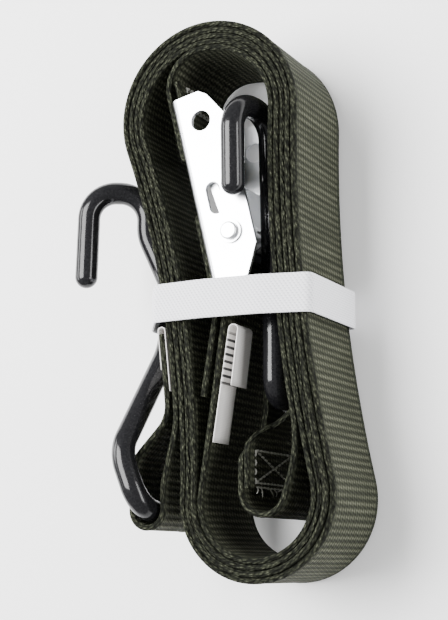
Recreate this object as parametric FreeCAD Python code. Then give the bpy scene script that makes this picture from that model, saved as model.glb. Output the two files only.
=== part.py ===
import FreeCAD, Part
import math
import os

V = FreeCAD.Vector
os.makedirs("parts", exist_ok=True)

# ---- webbing ----
web_width = 38.0
web_thick = 1.7
layer_gap = 0.2
coil_turns = 4

# ---- coil outline: two round ends joined by two waisted sides ----
top_end = (-6.0, 65.0)
top_radius = 30.0
bottom_end = (9.0, -54.0)
bottom_radius = 26.0
right_waist_radius = 450.0
left_waist_radius = 300.0

# ---- buckle: a folded sheet channel, s runs up its length and w across it ----
buckle_corner = (-3.2, 9.0)
buckle_lean = 13.5
buckle_length = 62.0
buckle_width = 17.5
sheet = 1.5
bend_radius = 2.4
side_play = 0.8
bar_clear = 0.2
face_clear = 0.15
bar_a_length = 17.0
bar_b_length = 22.3
window_corner = 2.5
hole_diameter = 6.6
hole_from_top = 9.6
hole_across = 8.7
slot_width = 4.8
slot_length = 10.5
slot_up = 26.8
slot_across = 7.5
chamfer_along = 9.0
chamfer_across = 5.0

# ---- cam ----
pin_up = 14.7
pin_across = 10.3
pin_diameter = 4.0
pin_play = 0.15
head_diameter = 5.4
head_height = 1.5
washer_diameter = 7.2
washer_thick = 0.8
cam_back_radius = 3.0
cam_side_gap = 0.8
cam_tooth_gap = 0.35
thumb_length = 22.0
thumb_thick = 2.0
thumb_lean = 6.0
spring_outer = 6.2
spring_width = 7.0
spring_pocket = 9.0

# ---- S-hooks ----
core_diameter = 5.8
coat_thick = 0.75
hook_span = 19.0
left_hook_rise = 10.0
left_hook_lift = 3.0
left_hook_top = 45.5
left_hook_tip = 28.0
centre_hook_top = 65.5
centre_hook_tip = 26.0
centre_hook_run = 4.4
shank_clear = 0.72
eye_clear = 3.1
eye_span = 34.0
eye_web_width = 25.0
centre_eye_span = 22.8
centre_eye_web = 13.5
eye_slack = 0.45
swing_slack = 0.8
slide_slack = 3.5

# ---- trim ----
label_thick = 0.35
label_width = 11.0
label_inset = 0.5
thread_thick = 0.35
thread_width = 0.7
band_thick = 0.8
band_width = 12.0
band_centre = 5.5
skin_gap = 0.3

pitch = web_thick + layer_gap
coat_radius = core_diameter / 2 + coat_thick
mid_z = web_width / 2


# ---- plane paths: lines ("line", p, q) and arcs ("arc", centre, radius, from, to) ----
def polar(centre, radius, angle):
    return (centre[0] + radius * math.cos(angle), centre[1] + radius * math.sin(angle))


def minus(p, q):
    return (p[0] - q[0], p[1] - q[1])


def angle_of(centre, p):
    return math.atan2(p[1] - centre[1], p[0] - centre[0])


def sweep_angle(start, end, clockwise):
    full = 2 * math.pi
    if clockwise:
        return start - (start - end) % full
    return start + (end - start) % full


def rounded(points, radii):
    """Straight runs through points, each inner corner rounded by its radius."""
    path = []
    last = points[0]
    for i, radius in enumerate(radii, 1):
        corner = points[i]
        back = minus(points[i - 1], corner)
        ahead = minus(points[i + 1], corner)
        back_len = math.hypot(*back)
        ahead_len = math.hypot(*ahead)
        b = (back[0] / back_len, back[1] / back_len)
        a = (ahead[0] / ahead_len, ahead[1] / ahead_len)
        half = math.acos(max(-1.0, min(1.0, b[0] * a[0] + b[1] * a[1]))) / 2
        reach = radius / math.tan(half)
        start = (corner[0] + b[0] * reach, corner[1] + b[1] * reach)
        end = (corner[0] + a[0] * reach, corner[1] + a[1] * reach)
        bis = (b[0] + a[0], b[1] + a[1])
        bis_len = math.hypot(*bis)
        out = radius / math.sin(half)
        centre = (corner[0] + bis[0] / bis_len * out, corner[1] + bis[1] / bis_len * out)
        clockwise = (-b[0]) * a[1] - (-b[1]) * a[0] < 0
        a0 = angle_of(centre, start)
        path.append(("line", last, start))
        path.append(("arc", centre, radius, a0, sweep_angle(a0, angle_of(centre, end), clockwise)))
        last = end
    path.append(("line", last, points[-1]))
    return path


def shifted(path, d):
    """The path moved d to the left of its travel."""
    out = []
    for piece in path:
        if piece[0] == "line":
            p, q = piece[1], piece[2]
            run = minus(q, p)
            n = (-run[1] / math.hypot(*run) * d, run[0] / math.hypot(*run) * d)
            out.append(("line", (p[0] + n[0], p[1] + n[1]), (q[0] + n[0], q[1] + n[1])))
        else:
            kind, centre, radius, a0, a1 = piece
            out.append((kind, centre, radius - d if a1 > a0 else radius + d, a0, a1))
    return out


def ends(piece):
    if piece[0] == "line":
        return piece[1], piece[2]
    return polar(piece[1], piece[2], piece[3]), polar(piece[1], piece[2], piece[4])


def edges(path, z=0.0):
    made = []
    for piece in path:
        p, q = ends(piece)
        if math.hypot(*minus(p, q)) < 1e-6:
            continue
        if piece[0] == "line":
            made.append(Part.LineSegment(V(*p, z), V(*q, z)).toShape())
        else:
            m = polar(piece[1], piece[2], (piece[3] + piece[4]) / 2)
            made.append(Part.Arc(V(*p, z), V(*m, z), V(*q, z)).toShape())
    return made


def strip(path, thick, z0, z1):
    """A ribbon that follows the path, from height z0 to z1."""
    left = shifted(path, thick / 2)
    right = shifted(path, -thick / 2)
    caps = [
        Part.LineSegment(V(*ends(left[-1])[1], z0), V(*ends(right[-1])[1], z0)).toShape(),
        Part.LineSegment(V(*ends(right[0])[0], z0), V(*ends(left[0])[0], z0)).toShape(),
    ]
    wire = Part.Wire(Part.__sortEdges__(edges(left, z0) + edges(right, z0) + caps))
    return Part.Face(wire).extrude(V(0, 0, z1 - z0))


def length_of(path):
    total = 0.0
    for piece in path:
        if piece[0] == "line":
            total += math.hypot(*minus(piece[1], piece[2]))
        else:
            total += piece[2] * abs(piece[4] - piece[3])
    return total


# ---- coil ----
def waist_centre(radius, side):
    """Centre of the hollow side arc that touches both round ends; side is +1 right, -1 left."""
    a = top_radius + radius
    b = bottom_radius + radius
    gap = minus(bottom_end, top_end)
    d = math.hypot(*gap)
    along = (a * a - b * b + d * d) / (2 * d)
    off = math.sqrt(a * a - along * along) * side
    e = (gap[0] / d, gap[1] / d)
    return (top_end[0] + e[0] * along - e[1] * off, top_end[1] + e[1] * along + e[0] * off)


right_centre = waist_centre(right_waist_radius, 1)
left_centre = waist_centre(left_waist_radius, -1)


def right_side_at(y):
    r = right_waist_radius
    return right_centre[0] - math.sqrt(r * r - (y - right_centre[1]) ** 2)


def wall_at(y):
    """Inner face of the short strap where it lies against the coil's right side."""
    return right_side_at(y) - inset(coil_turns) - web_thick / 2


def left_side_at(y):
    r = left_waist_radius
    return left_centre[0] + math.sqrt(r * r - (y - left_centre[1]) ** 2)


def inset(turn):
    """Distance from the coil's outline to the middle of a layer."""
    return web_thick / 2 + pitch * turn


def top_arc(turn):
    r = top_radius - inset(turn)
    a0 = angle_of(top_end, left_centre)
    return ("arc", top_end, r, a0, sweep_angle(a0, angle_of(top_end, right_centre), True))


def right_arc(turn, low_centre):
    r = right_waist_radius + inset(turn)
    a0 = angle_of(right_centre, top_end)
    return ("arc", right_centre, r, a0, sweep_angle(a0, angle_of(right_centre, low_centre), False))


def turn_path(turn):
    """One turn, from the foot of the left side to the foot of the next layer's left side."""
    r = bottom_radius - inset(turn)
    down = -math.pi / 2
    path = [top_arc(turn), right_arc(turn, bottom_end)]
    a0 = angle_of(bottom_end, right_centre)
    path.append(("arc", bottom_end, r, a0, sweep_angle(a0, down, True)))
    left_r = left_waist_radius + inset(turn + 1)
    w = minus(bottom_end, left_centre)
    n_dot = w[0] * math.cos(down) + w[1] * math.sin(down)
    both = r + left_r
    ease = (both * both - w[0] ** 2 - w[1] ** 2) / (2 * (n_dot + both))
    centre = polar(bottom_end, ease, down)
    a1 = angle_of(centre, left_centre)
    path.append(("arc", centre, r - ease, down, sweep_angle(down, a1, True)))
    return path, centre


def left_arc(turn, low_centre):
    r = left_waist_radius + inset(turn)
    a0 = angle_of(left_centre, low_centre)
    return ("arc", left_centre, r, a0, sweep_angle(a0, angle_of(left_centre, top_end), False))


# ---- buckle frame axes ----
lean = math.radians(buckle_lean)
s_dir = (-math.sin(lean), math.cos(lean))
w_dir = (math.cos(lean), math.sin(lean))


def at(s, w):
    return (
        buckle_corner[0] + s * s_dir[0] + w * w_dir[0],
        buckle_corner[1] + s * s_dir[1] + w * w_dir[1],
    )


near_z = web_width + side_play
far_z = -side_play
pivot = at(pin_up, pin_across)
inner_leg = sheet + face_clear + web_thick / 2
outer_leg = -face_clear - web_thick / 2


def prism(points, z0, z1):
    return Part.Face(Part.makePolygon([V(*p, z0) for p in points + points[:1]])).extrude(V(0, 0, z1 - z0))


def drum(centre, radius, z0, z1):
    return Part.makeCylinder(radius, z1 - z0, V(centre[0], centre[1], z0))


def buckle_frame():
    outline = [
        at(0, 0),
        at(buckle_length, 0),
        at(buckle_length, buckle_width - chamfer_across - 2.5),
        at(buckle_length - 2.0, buckle_width - chamfer_across),
        at(buckle_length - 2.0 - chamfer_along, buckle_width),
        at(chamfer_along, buckle_width),
        at(0, buckle_width - chamfer_across),
    ]
    body = prism(outline, far_z - sheet, near_z + sheet)
    hollow = prism(
        [at(-1, sheet), at(buckle_length + 1, sheet), at(buckle_length + 1, 40), at(-1, 40)],
        far_z,
        near_z,
    )
    folds = [e for e in body.Edges if e.Length > buckle_length - 0.01]
    body = body.makeFillet(bend_radius, folds)
    body = body.cut(hollow)
    low = bar_b_length
    high = buckle_length - bar_a_length
    window = prism([at(low, -1), at(high, -1), at(high, sheet + 0.01), at(low, sheet + 0.01)], far_z, near_z)
    corners = [e for e in window.Edges if abs(e.Length - sheet - 1.01) < 0.05]
    window = window.makeFillet(window_corner, corners)
    body = body.cut(window)
    body = body.cut(drum(at(buckle_length - hole_from_top, hole_across), hole_diameter / 2, -9, 60))
    reach = (slot_length - slot_width) / 2
    for end in (-reach, reach):
        body = body.cut(drum(at(slot_up + end, slot_across), slot_width / 2, -9, 60))
    half = slot_width / 2
    middle = [
        at(slot_up - reach, slot_across - half),
        at(slot_up + reach, slot_across - half),
        at(slot_up + reach, slot_across + half),
        at(slot_up - reach, slot_across + half),
    ]
    body = body.cut(prism(middle, -9, 60))
    return body.cut(drum(pivot, pin_diameter / 2, -9, 60))


def cam_parts():
    z0 = far_z + cam_side_gap
    z1 = near_z - cam_side_gap
    grip_face = sheet + face_clear + web_thick + cam_tooth_gap
    reach = pin_across - grip_face
    points = [at(pin_up - 3.2, pin_across - 1.0)]
    teeth = 4
    for i in range(teeth):
        level = pin_up - 3.0 + i * 1.6
        rise = math.sqrt(reach * reach - (level + 0.8 - pin_up) ** 2)
        points.append(at(level, pin_across - rise + 0.9))
        points.append(at(level + 1.3, pin_across - rise))
    top = pin_up + thumb_length
    points += [
        at(pin_up + 4.2, pin_across - 3.0),
        at(pin_up + 6.0, pin_across - 1.0 - thumb_thick),
        at(top, pin_across - thumb_lean + 1.0),
        at(top + 0.5, pin_across - thumb_lean + 1.0 + thumb_thick),
        at(pin_up + 6.0, pin_across + 0.4),
        at(pin_up + 2.6, pin_across + 2.2),
    ]
    cam = prism(points, z0, z1)
    cam = cam.fuse(drum(pivot, cam_back_radius, z0, z1)).removeSplitter()
    cam = cam.cut(drum(pivot, pin_diameter / 2 + pin_play, -9, 60))
    pocket_z = mid_z - spring_pocket / 2
    pocket = drum(pivot, spring_outer / 2 + 0.4, pocket_z, pocket_z + spring_pocket)
    slot = prism(
        [
            at(pin_up - spring_outer / 2 - 0.4, pin_across),
            at(pin_up + spring_outer / 2 + 0.4, pin_across),
            at(pin_up + spring_outer / 2 + 0.4, pin_across + 9),
            at(pin_up - spring_outer / 2 - 0.4, pin_across + 9),
        ],
        pocket_z,
        pocket_z + spring_pocket,
    )
    cam = cam.cut(pocket).cut(slot)
    spring_z = mid_z - spring_width / 2
    spring = drum(pivot, spring_outer / 2, spring_z, spring_z + spring_width)
    spring = spring.cut(drum(pivot, pin_diameter / 2 + 0.3, -9, 60))
    pin = drum(pivot, pin_diameter / 2, far_z - sheet, near_z + sheet)
    out_far = far_z - sheet - washer_thick
    out_near = near_z + sheet + washer_thick
    pin = pin.fuse(drum(pivot, pin_diameter / 2, out_far, out_near))
    near_head = drum(pivot, head_diameter / 2, out_near, out_near + head_height)
    rim = [e for e in near_head.Edges if abs(e.BoundBox.ZMin - out_near - head_height) < 1e-6]
    near_head = near_head.makeFillet(0.5, rim)
    far_head = drum(pivot, head_diameter / 2, out_far - 0.7, out_far)
    pin = pin.fuse(near_head).fuse(far_head).removeSplitter()
    washers = []
    for z in (out_far, near_z + sheet):
        washer = drum(pivot, washer_diameter / 2, z, z + washer_thick)
        washers.append(washer.cut(drum(pivot, pin_diameter / 2, -9, 60)))
    return cam, spring, pin, washers[0], washers[1]


# ---- straps ----
eye_radius = coat_radius + eye_slack + web_thick / 2
left_eye_radius = coat_radius + swing_slack + web_thick / 2
left_eye = (-26.0, -58.0)
join_level = -24.0
lap_gap = web_thick + 1.0
lap_top = -4.0
tail_end = (-7.3, -24.0)
centre_eye = (wall_at(-24.0) - eye_radius - web_thick / 2 - eye_clear, -24.0)
stitch_low = -53.0
lap_short = web_thick + 0.1


def long_route():
    """From the left hook's eye, round the coil, to the free end past bar B."""
    r = left_waist_radius + inset(0)
    join_angle = math.asin((join_level - left_centre[1]) / r)
    join = polar(left_centre, r, join_angle)
    foot = (join[0] + math.sin(join_angle) * 8.0, join[1] - math.cos(join_angle) * 8.0)
    inner = (left_eye[0] + left_eye_radius, left_eye[1])
    outer = (left_eye[0] - left_eye_radius, left_eye[1])
    inner_bend = (inner[0], inner[1] + 8.0)
    path = rounded(
        [(left_side_at(lap_top) + web_thick / 2 - lap_gap, lap_top), (foot[0] - lap_gap, foot[1] + 2.0), (outer[0], outer[1] + 15.0), outer],
        [10.0, 10.0],
    )
    path.append(("arc", left_eye, left_eye_radius, math.pi, 2 * math.pi))
    path += rounded([inner, inner_bend, foot, join], [20.0, 30.0])
    top_angle = angle_of(left_centre, top_end)
    path.append(("arc", left_centre, r, join_angle, top_angle))
    for turn in range(coil_turns):
        made, low = turn_path(turn)
        path += made
        if turn < coil_turns - 1:
            path.append(left_arc(turn + 1, low))
    kind, centre, radius, a0, a1 = path.pop()
    mouth = at(-5.0, inner_leg)
    bar_top = bar_b_length + bar_clear
    run = minus(mouth, centre)
    tilt = math.atan2(run[1], run[0]) + math.acos(radius / math.hypot(*run))
    leave = sweep_angle(a0, tilt, True)
    path.append((kind, centre, radius, a0, leave))
    leave_point = polar(centre, radius, leave)
    u = (inner_leg - outer_leg) / 2
    hub = at(bar_top, inner_leg - u)
    up_end = at(bar_top, inner_leg)
    over_end = at(bar_top, outer_leg)
    path += rounded([leave_point, mouth, up_end], [25.0])
    a0 = angle_of(hub, up_end)
    path.append(("arc", hub, u, a0, a0 + math.pi))
    path += rounded([over_end, at(-5.5, outer_leg), tail_end], [25.0])
    return path


def short_route():
    """From the sewn end above bar A, round the bar, over the top, down the right, to the eye."""
    low = buckle_length - bar_a_length - bar_clear
    u = (inner_leg - outer_leg) / 2
    hub = at(low, inner_leg - u)
    in_end = at(low, inner_leg)
    out_end = at(low, outer_leg)
    path = [("line", at(buckle_length + 7.0, inner_leg), in_end)]
    a0 = angle_of(hub, in_end)
    path.append(("arc", hub, u, a0, a0 - math.pi))
    side = inset(coil_turns)
    top_r = top_radius - side
    crown = (top_end[0], top_end[1] + top_r)
    climb = (crown[1] - out_end[1]) / s_dir[1]
    corner = (out_end[0] + s_dir[0] * climb, crown[1])
    path += rounded([out_end, corner, crown], [12.0])
    a1 = angle_of(top_end, right_centre)
    path.append(("arc", top_end, top_r, math.pi / 2, sweep_angle(math.pi / 2, a1, True)))
    r = right_waist_radius + side
    low_r = 7.0
    turn_at = (12.0, -55.0)
    a_top = angle_of(right_centre, top_end)
    a_top = sweep_angle(0.0, a_top, False)
    a_low = math.pi - math.asin((-28.0 - right_centre[1]) / r)
    p_low = polar(right_centre, r, a_low)
    path.append(("arc", right_centre, r, a_top, a_low))
    right_foot = (turn_at[0] + low_r, turn_at[1])
    t_low = (-math.sin(a_low), math.cos(a_low))
    bend = (p_low[0] + t_low[0] * 12.0, p_low[1] + t_low[1] * 12.0)
    path += rounded([p_low, bend, right_foot], [40.0])[:-1]
    last = ends(path[-1])[1]
    heading = minus(right_foot, bend)
    head_len = math.hypot(*heading)
    h = (heading[0] / head_len, heading[1] / head_len)
    path.append(("line", last, right_foot))
    centre = (right_foot[0] + h[1] * low_r, right_foot[1] - h[0] * low_r)
    a0 = angle_of(centre, right_foot)
    ply = (centre[0] - low_r, centre[1])
    path.append(("arc", centre, low_r, a0, sweep_angle(a0, math.pi, True)))
    er = eye_radius
    bight = (centre_eye[0], centre_eye[1] + slide_slack)
    left_side = (bight[0] - er, bight[1])
    right_side = (bight[0] + er, bight[1])
    top_ply = (ply[0], ply[1] + 19.0)
    path += rounded([ply, top_ply, (left_side[0], left_side[1] - 7.0), left_side], [14.0, 8.0])
    path.append(("arc", bight, er, math.pi, 0.0))
    lap_high = (top_ply[0] + lap_short, top_ply[1] - 0.4)
    path += rounded(
        [right_side, (right_side[0], right_side[1] - 6.0), lap_high, (lap_high[0], stitch_low + 1.0)],
        [6.0, 5.0],
    )
    return path, ply


def gather(centre, upward, z_mid, narrow):
    """The wedge cut from each side of a strap where it narrows to pass through a hook."""
    sign = 1.0 if upward else -1.0
    half = narrow / 2
    y0 = centre[1] - sign * (eye_radius + slide_slack + 3.0)
    y1 = centre[1] + sign * 9.0
    y2 = centre[1] + sign * 20.0
    cutters = []
    for side in (-1.0, 1.0):
        edge = z_mid + side * half
        far = z_mid + side * 80.0
        rim = mid_z + side * (web_width / 2 + 0.01)
        points = [V(0, y0, edge), V(0, y1, edge), V(0, y2, rim), V(0, y2, far), V(0, y0, far)]
        face = Part.Face(Part.makePolygon(points + points[:1]))
        face.translate(V(centre[0] - eye_radius - 6.0, 0, 0))
        cutters.append(face.extrude(V(2 * eye_radius + 12.0, 0, 0)))
    return cutters


# ---- hooks ----
waist_shank = -28.3
centre_tip_z = near_z + sheet + 0.6 + coat_radius
centre_shank_z = centre_tip_z - math.sqrt(hook_span ** 2 - centre_hook_run ** 2)


def wire_3d(points, radii):
    """Straight runs through points in space with rounded corners."""
    made = []
    last = points[0]
    for i, radius in enumerate(radii, 1):
        corner = points[i]
        b = (points[i - 1] - corner).normalize()
        a = (points[i + 1] - corner).normalize()
        half = b.getAngle(a) / 2
        reach = radius / math.tan(half)
        start = corner + b * reach
        end = corner + a * reach
        centre = corner + (b + a).normalize() * (radius / math.sin(half))
        middle = centre + (corner - centre).normalize() * radius
        if (start - last).Length > 1e-4:
            made.append(Part.LineSegment(last, start).toShape())
        made.append(Part.Arc(start, middle, end).toShape())
        last = end
    made.append(Part.LineSegment(last, points[-1]).toShape())
    return Part.Wire(made)


def rod(wire, radius):
    first = wire.Edges[0]
    start = first.valueAt(first.FirstParameter)
    tangent = first.tangentAt(first.FirstParameter)
    ring = Part.Wire(Part.makeCircle(radius, start, tangent))
    shell = Part.BRepOffsetAPI.MakePipeShell(wire)
    shell.setFrenetMode(True)
    shell.add(ring)
    shell.build()
    shell.makeSolid()
    return shell.shape()


def tip_balls(wire, radius):
    first = wire.Edges[0]
    last = wire.Edges[-1]
    spots = [first.valueAt(first.FirstParameter), last.valueAt(last.LastParameter)]
    return [Part.makeSphere(radius, spot) for spot in spots]


def left_hook_wire():
    x, y = left_eye
    half = hook_span / 2
    top_y = left_hook_top
    shank_x = -35.0
    shank_z = mid_z + left_hook_lift
    tip_x = shank_x - math.sqrt(hook_span**2 - left_hook_rise**2)
    tip_z = shank_z + left_hook_rise
    bar = eye_span / 2
    z_mid = web_width - eye_web_width / 2
    return wire_3d(
        [
            V(tip_x - 1.0, top_y - left_hook_tip, tip_z),
            V(tip_x, top_y, tip_z),
            V(shank_x, top_y, shank_z),
            V(shank_x, top_y - 14.0, shank_z),
            V(waist_shank, 15.0, mid_z),
            V(waist_shank, -5.0, mid_z),
            V(-33.0, -40.0, z_mid + bar),
            V(x, y, z_mid + bar),
            V(x, y, z_mid - bar),
            V(x, y + 10.0, z_mid - bar),
        ],
        [half - 0.6, half - 0.6, 12.0, 12.0, 20.0, 14.0, 8.0, 8.0],
    )


def centre_hook_wire():
    x, y = centre_eye
    half = hook_span / 2
    top_y = centre_hook_top
    shank_x = wall_at(top_y - 5.5) - coat_radius - shank_clear
    tip_x = shank_x - centre_hook_run
    shank_z = centre_shank_z
    far = shank_z - centre_eye_span
    return wire_3d(
        [
            V(tip_x + 0.3, top_y - centre_hook_tip, centre_tip_z),
            V(tip_x, top_y, centre_tip_z),
            V(shank_x, top_y, shank_z),
            V(x, y + 26.0, shank_z),
            V(x, y, shank_z),
            V(x, y, far),
            V(x, y + 14.0, far),
        ],
        [half - 0.6, half - 0.6, 60.0, 6.5, 6.5],
    )


def hook(wire):
    core = rod(wire, core_diameter / 2)
    coat = rod(wire, coat_radius).cut(core)
    for ball in tip_balls(wire, coat_radius):
        coat = coat.fuse(ball.cut(core))
    return core, coat.removeSplitter()


# ---- trim ----
def label(points):
    """A folded tab: two legs that hang from a round fold, the fold being the third corner pair."""
    high = web_width - label_inset
    low = high - label_width
    turn = (points[2][0] - points[1][0]) / 2 * 0.95
    return strip(rounded(points, [turn, turn]), label_thick, low, high)


def labels():
    lap_start, lap_end = ends(long_path[0])
    run = minus(lap_end, lap_start)
    t = (run[0] / math.hypot(*run), run[1] / math.hypot(*run))
    half = web_thick / 2 + 0.15 + label_thick / 2

    def beside(down, across):
        return (lap_start[0] + t[0] * down + t[1] * across, lap_start[1] + t[1] * down - t[0] * across)

    left = label([beside(11.0, half), beside(-2.2, half), beside(-2.2, -half), beside(18.0, -half)])
    leg_x, leg_y = at(-6.0, inner_leg)
    fold = leg_y - 6.2
    centre = label([(leg_x - 4.6, -38.0), (leg_x + 0.8, fold), (leg_x + 3.8, fold), (leg_x + 1.4, -21.0)])
    return left, centre


def thread_bars(p, q, side, z0, z1):
    """Box-and-cross stitching on a straight strap face, between plane points p and q."""
    run = minus(q, p)
    run_len = math.hypot(*run)
    t = (run[0] / run_len, run[1] / run_len)
    n = (-t[1] * side, t[0] * side)
    lines = [((0, z0), (0, z1)), ((1, z0), (1, z1)), ((0.9, z0), (0.9, z1))]
    lines += [((0, z0), (1, z0)), ((0, z1), (1, z1)), ((0, z0), (0.9, z1)), ((0, z1), (0.9, z0))]
    solid = None
    for a, b in lines:
        ua, za = a[0] * run_len, a[1]
        ub, zb = b[0] * run_len, b[1]
        d = math.hypot(ub - ua, zb - za)
        side_u = -(zb - za) / d * thread_width / 2
        side_z = (ub - ua) / d * thread_width / 2
        corners = []
        for u, z, k in ((ua, za, 1), (ub, zb, 1), (ub, zb, -1), (ua, za, -1)):
            uu = u + k * side_u
            corners.append(V(p[0] + t[0] * uu, p[1] + t[1] * uu, z + k * side_z))
        bar = Part.Face(Part.makePolygon(corners + corners[:1])).extrude(V(n[0], n[1], 0) * thread_thick)
        solid = bar if solid is None else solid.fuse(bar)
    return solid.removeSplitter()


def band():
    """The elastic band: a closed ring about the waist, drawn tight round the whole bundle."""
    y0 = band_centre - band_width / 2
    frame_low = far_z - sheet
    frame_high = near_z + sheet
    right = right_side_at(band_centre - band_width / 2) + 1.0
    left = left_side_at(band_centre + band_width / 2) - 0.3
    shank = waist_shank - coat_radius
    section = [
        (right, 0.5),
        (right, web_width - 0.5),
        (12.0, frame_high),
        (-6.0, frame_high),
        (left, web_width),
        (shank + 1.0, mid_z + 5.0),
        (shank, mid_z + 2.5),
        (shank, mid_z - 2.5),
        (shank + 1.0, mid_z - 5.0),
        (left, 0.0),
        (-6.0, frame_low),
        (12.0, frame_low),
    ]
    ring = Part.makePolygon([V(x, y0, z) for x, z in section + section[:1]])
    inner = ring.makeOffset2D(skin_gap)
    outer = ring.makeOffset2D(skin_gap + band_thick)
    outer_solid = Part.Face(outer).extrude(V(0, band_width, 0))
    inner_solid = Part.Face(inner).extrude(V(0, band_width, 0))
    return outer_solid.cut(inner_solid)


def lap_point(down):
    """A point on the outer face of the hook end's lap, a length down from its top."""
    start, end = ends(long_path[0])
    run = minus(end, start)
    t = (run[0] / math.hypot(*run), run[1] / math.hypot(*run))
    face = web_thick / 2
    return (start[0] + t[0] * down + t[1] * face, start[1] + t[1] * down - t[0] * face)


def tail_points(up):
    """A point on the tail's left face, a length up from its end."""
    start, end = ends(long_path[-1])
    run = minus(start, end)
    t = (run[0] / math.hypot(*run), run[1] / math.hypot(*run))
    face = web_thick / 2
    return (end[0] + t[0] * up - t[1] * face, end[1] + t[1] * up + t[0] * face)


shapes = {}
shapes["buckle_frame"] = buckle_frame()
cam, spring, pin, washer_far, washer_near = cam_parts()
shapes["cam_lever"] = cam
shapes["cam_spring"] = spring
shapes["cam_pin"] = pin
shapes["cam_washer_far"] = washer_far
shapes["cam_washer_near"] = washer_near

long_path = long_route()
long_strap = strip(long_path, web_thick, 0.0, web_width)
for cutter in gather(left_eye, True, web_width - eye_web_width / 2, eye_web_width):
    long_strap = long_strap.cut(cutter)
shapes["long_strap"] = long_strap
short_path, ply_foot = short_route()
short_strap = strip(short_path, web_thick, 0.0, web_width)
for cutter in gather(centre_eye, False, centre_shank_z - centre_eye_span / 2, centre_eye_web):
    short_strap = short_strap.cut(cutter)
shapes["short_strap"] = short_strap

left_wire = left_hook_wire()
shapes["hook_left_core"], shapes["hook_left_coating"] = hook(left_wire)
centre_wire = centre_hook_wire()
shapes["hook_centre_core"], shapes["hook_centre_coating"] = hook(centre_wire)

shapes["wrap_band"] = band()
shapes["label_left"], shapes["label_centre"] = labels()

eye_x = ply_foot[0] + lap_short + web_thick / 2
shapes["eye_stitches"] = thread_bars((eye_x, -40.5), (eye_x, -51.5), 1, 5.0, 33.0)
shapes["hook_end_stitches"] = thread_bars(lap_point(12.5), lap_point(20.0), -1, 5.0, 33.0)
free_edge = inner_leg + web_thick / 2
high = buckle_length + 6.0
shapes["buckle_end_stitches"] = thread_bars(at(high, free_edge), at(high - 8.0, free_edge), 1, 5.0, 33.0)
hem_low, hem_high = tail_points(3.0), tail_points(11.0)
shapes["tail_stitches"] = thread_bars(hem_high, hem_low, -1, 5.0, 33.0)

whole = Part.makeCompound(list(shapes.values())).BoundBox
to_origin = V(-(whole.XMin + whole.XMax) / 2, -(whole.YMin + whole.YMax) / 2, -whole.ZMin)
for name, shape in shapes.items():
    shape.translate(to_origin)
    box = shape.BoundBox
    corners = [round(v, 2) for v in (box.XMin, box.XMax, box.YMin, box.YMax, box.ZMin, box.ZMax)]
    print(name, "solids", len(shape.Solids), "valid", shape.isValid(), "box", corners)
    shape.exportStep("parts/" + name + ".step")

print("origin shift", [round(v, 3) for v in to_origin])
print("cam pivot", round(pivot[0] + to_origin.x, 3), round(pivot[1] + to_origin.y, 3))
print("left eye", round(left_eye[0] + to_origin.x, 3), round(left_eye[1] + to_origin.y, 3))
print("strap lengths", round(length_of(long_path)), round(length_of(short_path)))
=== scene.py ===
"""A cam buckle tie-down strap, coiled and wrapped with an elastic band for storage."""

import logging
import math
from dataclasses import dataclass, field
from enum import Enum

import bmesh
import bpy
from mathutils import Matrix, Vector


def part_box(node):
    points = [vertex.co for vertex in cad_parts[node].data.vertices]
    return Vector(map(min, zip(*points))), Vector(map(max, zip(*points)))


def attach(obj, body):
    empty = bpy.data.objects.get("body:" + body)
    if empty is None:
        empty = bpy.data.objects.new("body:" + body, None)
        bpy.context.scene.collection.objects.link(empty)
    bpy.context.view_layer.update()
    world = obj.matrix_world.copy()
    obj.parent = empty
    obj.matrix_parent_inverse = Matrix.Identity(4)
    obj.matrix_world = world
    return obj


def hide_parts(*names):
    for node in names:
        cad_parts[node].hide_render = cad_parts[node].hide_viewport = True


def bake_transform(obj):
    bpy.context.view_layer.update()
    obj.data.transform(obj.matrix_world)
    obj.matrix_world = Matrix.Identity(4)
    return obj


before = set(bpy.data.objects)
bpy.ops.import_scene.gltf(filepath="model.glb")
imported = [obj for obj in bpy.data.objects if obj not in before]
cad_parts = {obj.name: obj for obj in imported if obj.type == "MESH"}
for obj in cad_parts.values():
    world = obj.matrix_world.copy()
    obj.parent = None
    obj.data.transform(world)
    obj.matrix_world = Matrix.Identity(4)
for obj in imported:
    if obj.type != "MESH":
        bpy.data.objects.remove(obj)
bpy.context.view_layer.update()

LOG = logging.getLogger("tie_down")
MM = 0.001

Point = tuple[float, float]


# ---------------------------------------------------------------- plane routes
@dataclass(frozen=True)
class Run:
    """A straight piece of a route in plan, in millimetres."""

    start: Point
    end: Point

    def length(self) -> float:
        """Length of the run."""
        return math.dist(self.start, self.end)

    def at(self, part: float) -> Point:
        """Point a fraction of the way along."""
        return (
            self.start[0] + (self.end[0] - self.start[0]) * part,
            self.start[1] + (self.end[1] - self.start[1]) * part,
        )

    def steps(self) -> int:
        """Stations that the run needs."""
        return max(1, round(self.length() / 2.0))


@dataclass(frozen=True)
class Bend:
    """An arc of a route in plan, from one angle to another."""

    centre: Point
    radius: float
    first: float
    last: float

    def length(self) -> float:
        """Length of the arc."""
        return self.radius * abs(self.last - self.first)

    def at(self, part: float) -> Point:
        """Point a fraction of the way round."""
        return polar(self.centre, self.radius, self.first + (self.last - self.first) * part)

    def steps(self) -> int:
        """Stations that the arc needs."""
        return max(2, round(self.length() / 1.6), round(abs(self.last - self.first) / 0.17))

    @property
    def start(self) -> Point:
        """First point of the arc."""
        return self.at(0.0)

    @property
    def end(self) -> Point:
        """Last point of the arc."""
        return self.at(1.0)


Route = list[Run | Bend]


def polar(centre: Point, radius: float, angle: float) -> Point:
    """Point at an angle and radius from a centre."""
    return (centre[0] + radius * math.cos(angle), centre[1] + radius * math.sin(angle))


def angle_of(centre: Point, p: Point) -> float:
    """Angle at which a point is seen from a centre."""
    return math.atan2(p[1] - centre[1], p[0] - centre[0])


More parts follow.
